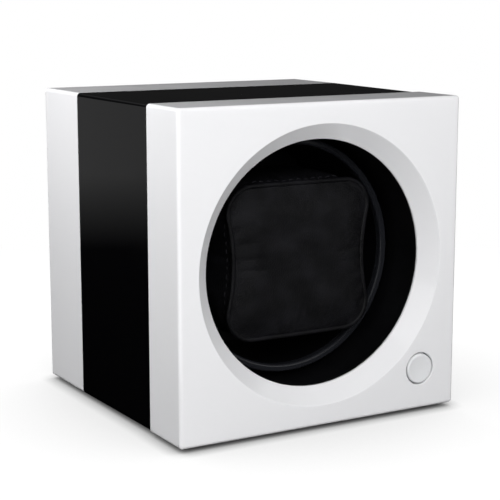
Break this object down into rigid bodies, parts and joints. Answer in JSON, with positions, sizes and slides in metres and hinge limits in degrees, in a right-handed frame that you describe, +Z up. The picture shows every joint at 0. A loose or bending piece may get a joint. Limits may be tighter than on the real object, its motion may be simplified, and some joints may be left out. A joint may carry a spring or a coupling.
{
  "type": "watch winder box",
  "caption": "Cube-shaped watch winder: a round window, a geared rotor with a pull-out cushion, a start button in front and a service panel behind.",
  "frame": {"origin": "centre of the footprint, on the surface that the feet stand on", "axes": "+Z up; the window and the start button look towards -Y; +X is to the right seen from the front"},
  "size_m": [0.1, 0.098, 0.1012],
  "materials": {
    "white_gloss": "gloss white moulding",
    "black_gloss": "gloss black moulding",
    "black_satin": "satin black moulding",
    "rim_trim": "dark gloss trim",
    "leatherette": "black grained leatherette",
    "rubber_foot": "soft black rubber",
    "button_silver": "pale silver lacquer",
    "steel": "bright steel",
    "bronze_bush": "sintered bronze",
    "brass": "turned brass",
    "acetal": "natural acetal",
    "board_green": "green solder mask",
    "cell_wrap": "plain grey cell sleeve",
    "motor_steel": "plated motor can"
  },
  "bodies": {
    "housing": {"front_shell": "white_gloss", "centre_sleeve": "black_gloss", "rear_shell": "white_gloss", "feet": "rubber_foot", "housing_screws": "steel", "well_liner": "black_satin", "drive_plate": "black_satin", "plate_screws": "steel", "bearing_bushes": "bronze_bush", "idler_arbor": "steel", "motor_can": "motor_steel", "motor_gearhead": "brass", "motor_bracket": "black_satin", "bracket_screws": "steel", "control_board": "board_green", "board_parts": "black_satin", "board_screws": "steel", "dc_socket": "black_satin", "dc_socket_pin": "steel", "program_switch": "motor_steel", "direction_switch": "motor_steel", "button_board": "board_green", "button_switch": "motor_steel", "button_screws": "steel", "button_spring": "steel", "battery_tray": "black_satin", "battery_cells": "cell_wrap", "battery_contacts": "steel"},
    "rotor": {"rotor_cup": "black_satin", "rotor_rim": "rim_trim", "rotor_shaft": "steel", "keeper_plate": "steel", "rotor_screws": "steel", "shaft_clip": "steel", "output_gear": "acetal"},
    "idler": {"idler_gear": "acetal"},
    "motor_rotor": {"motor_shaft": "steel", "motor_pinion": "brass"},
    "cushion": {"cushion_core": "black_satin", "cushion_pad": "leatherette", "holder_magnets": "steel"},
    "button": {"start_button": "button_silver"},
    "knob": {"program_knob": "black_satin"},
    "slider": {"direction_slider": "black_satin"},
    "door": {"battery_door": "white_gloss"}
  },
  "joints": [
    {"name": "rotor_spin", "type": "hinge", "parent": "housing", "child": "rotor", "pos_m": [0, 0.019, 0.0512], "axis": [0, 1, 0], "continuous": true},
    {"name": "idler_spin", "type": "hinge", "parent": "housing", "child": "idler", "pos_m": [0.01644, 0.023, 0.07866], "axis": [0, 1, 0], "continuous": true},
    {"name": "motor_spin", "type": "hinge", "parent": "housing", "child": "motor_rotor", "pos_m": [0.03649, 0.017, 0.08769], "axis": [0, 1, 0], "continuous": true},
    {"name": "cushion_pull", "type": "slide", "parent": "rotor", "child": "cushion", "axis": [0, -1, 0], "range_m": [0, 0.07]},
    {"name": "start_press", "type": "slide", "parent": "housing", "child": "button", "axis": [0, 1, 0], "range_m": [0, 0.001], "stiffness_N_per_m": 250, "springref_m": -0.002, "deforming": ["button_spring"]},
    {"name": "program_turn", "type": "hinge", "parent": "housing", "child": "knob", "pos_m": [0.026, 0.0435, 0.0752], "axis": [0, 1, 0], "range_deg": [-90, 90]},
    {"name": "direction_slide", "type": "slide", "parent": "housing", "child": "slider", "axis": [1, 0, 0], "range_m": [-0.002, 0.002]},
    {"name": "door_swing", "type": "hinge", "parent": "housing", "child": "door", "pos_m": [0, 0.04825, 0.00635], "axis": [-1, 0, 0], "range_deg": [0, 100]}
  ],
  "couplings": [
    {"joint": "idler_spin", "follows": "rotor_spin", "ratio": -3},
    {"joint": "motor_spin", "follows": "rotor_spin", "ratio": 8}
  ]
}
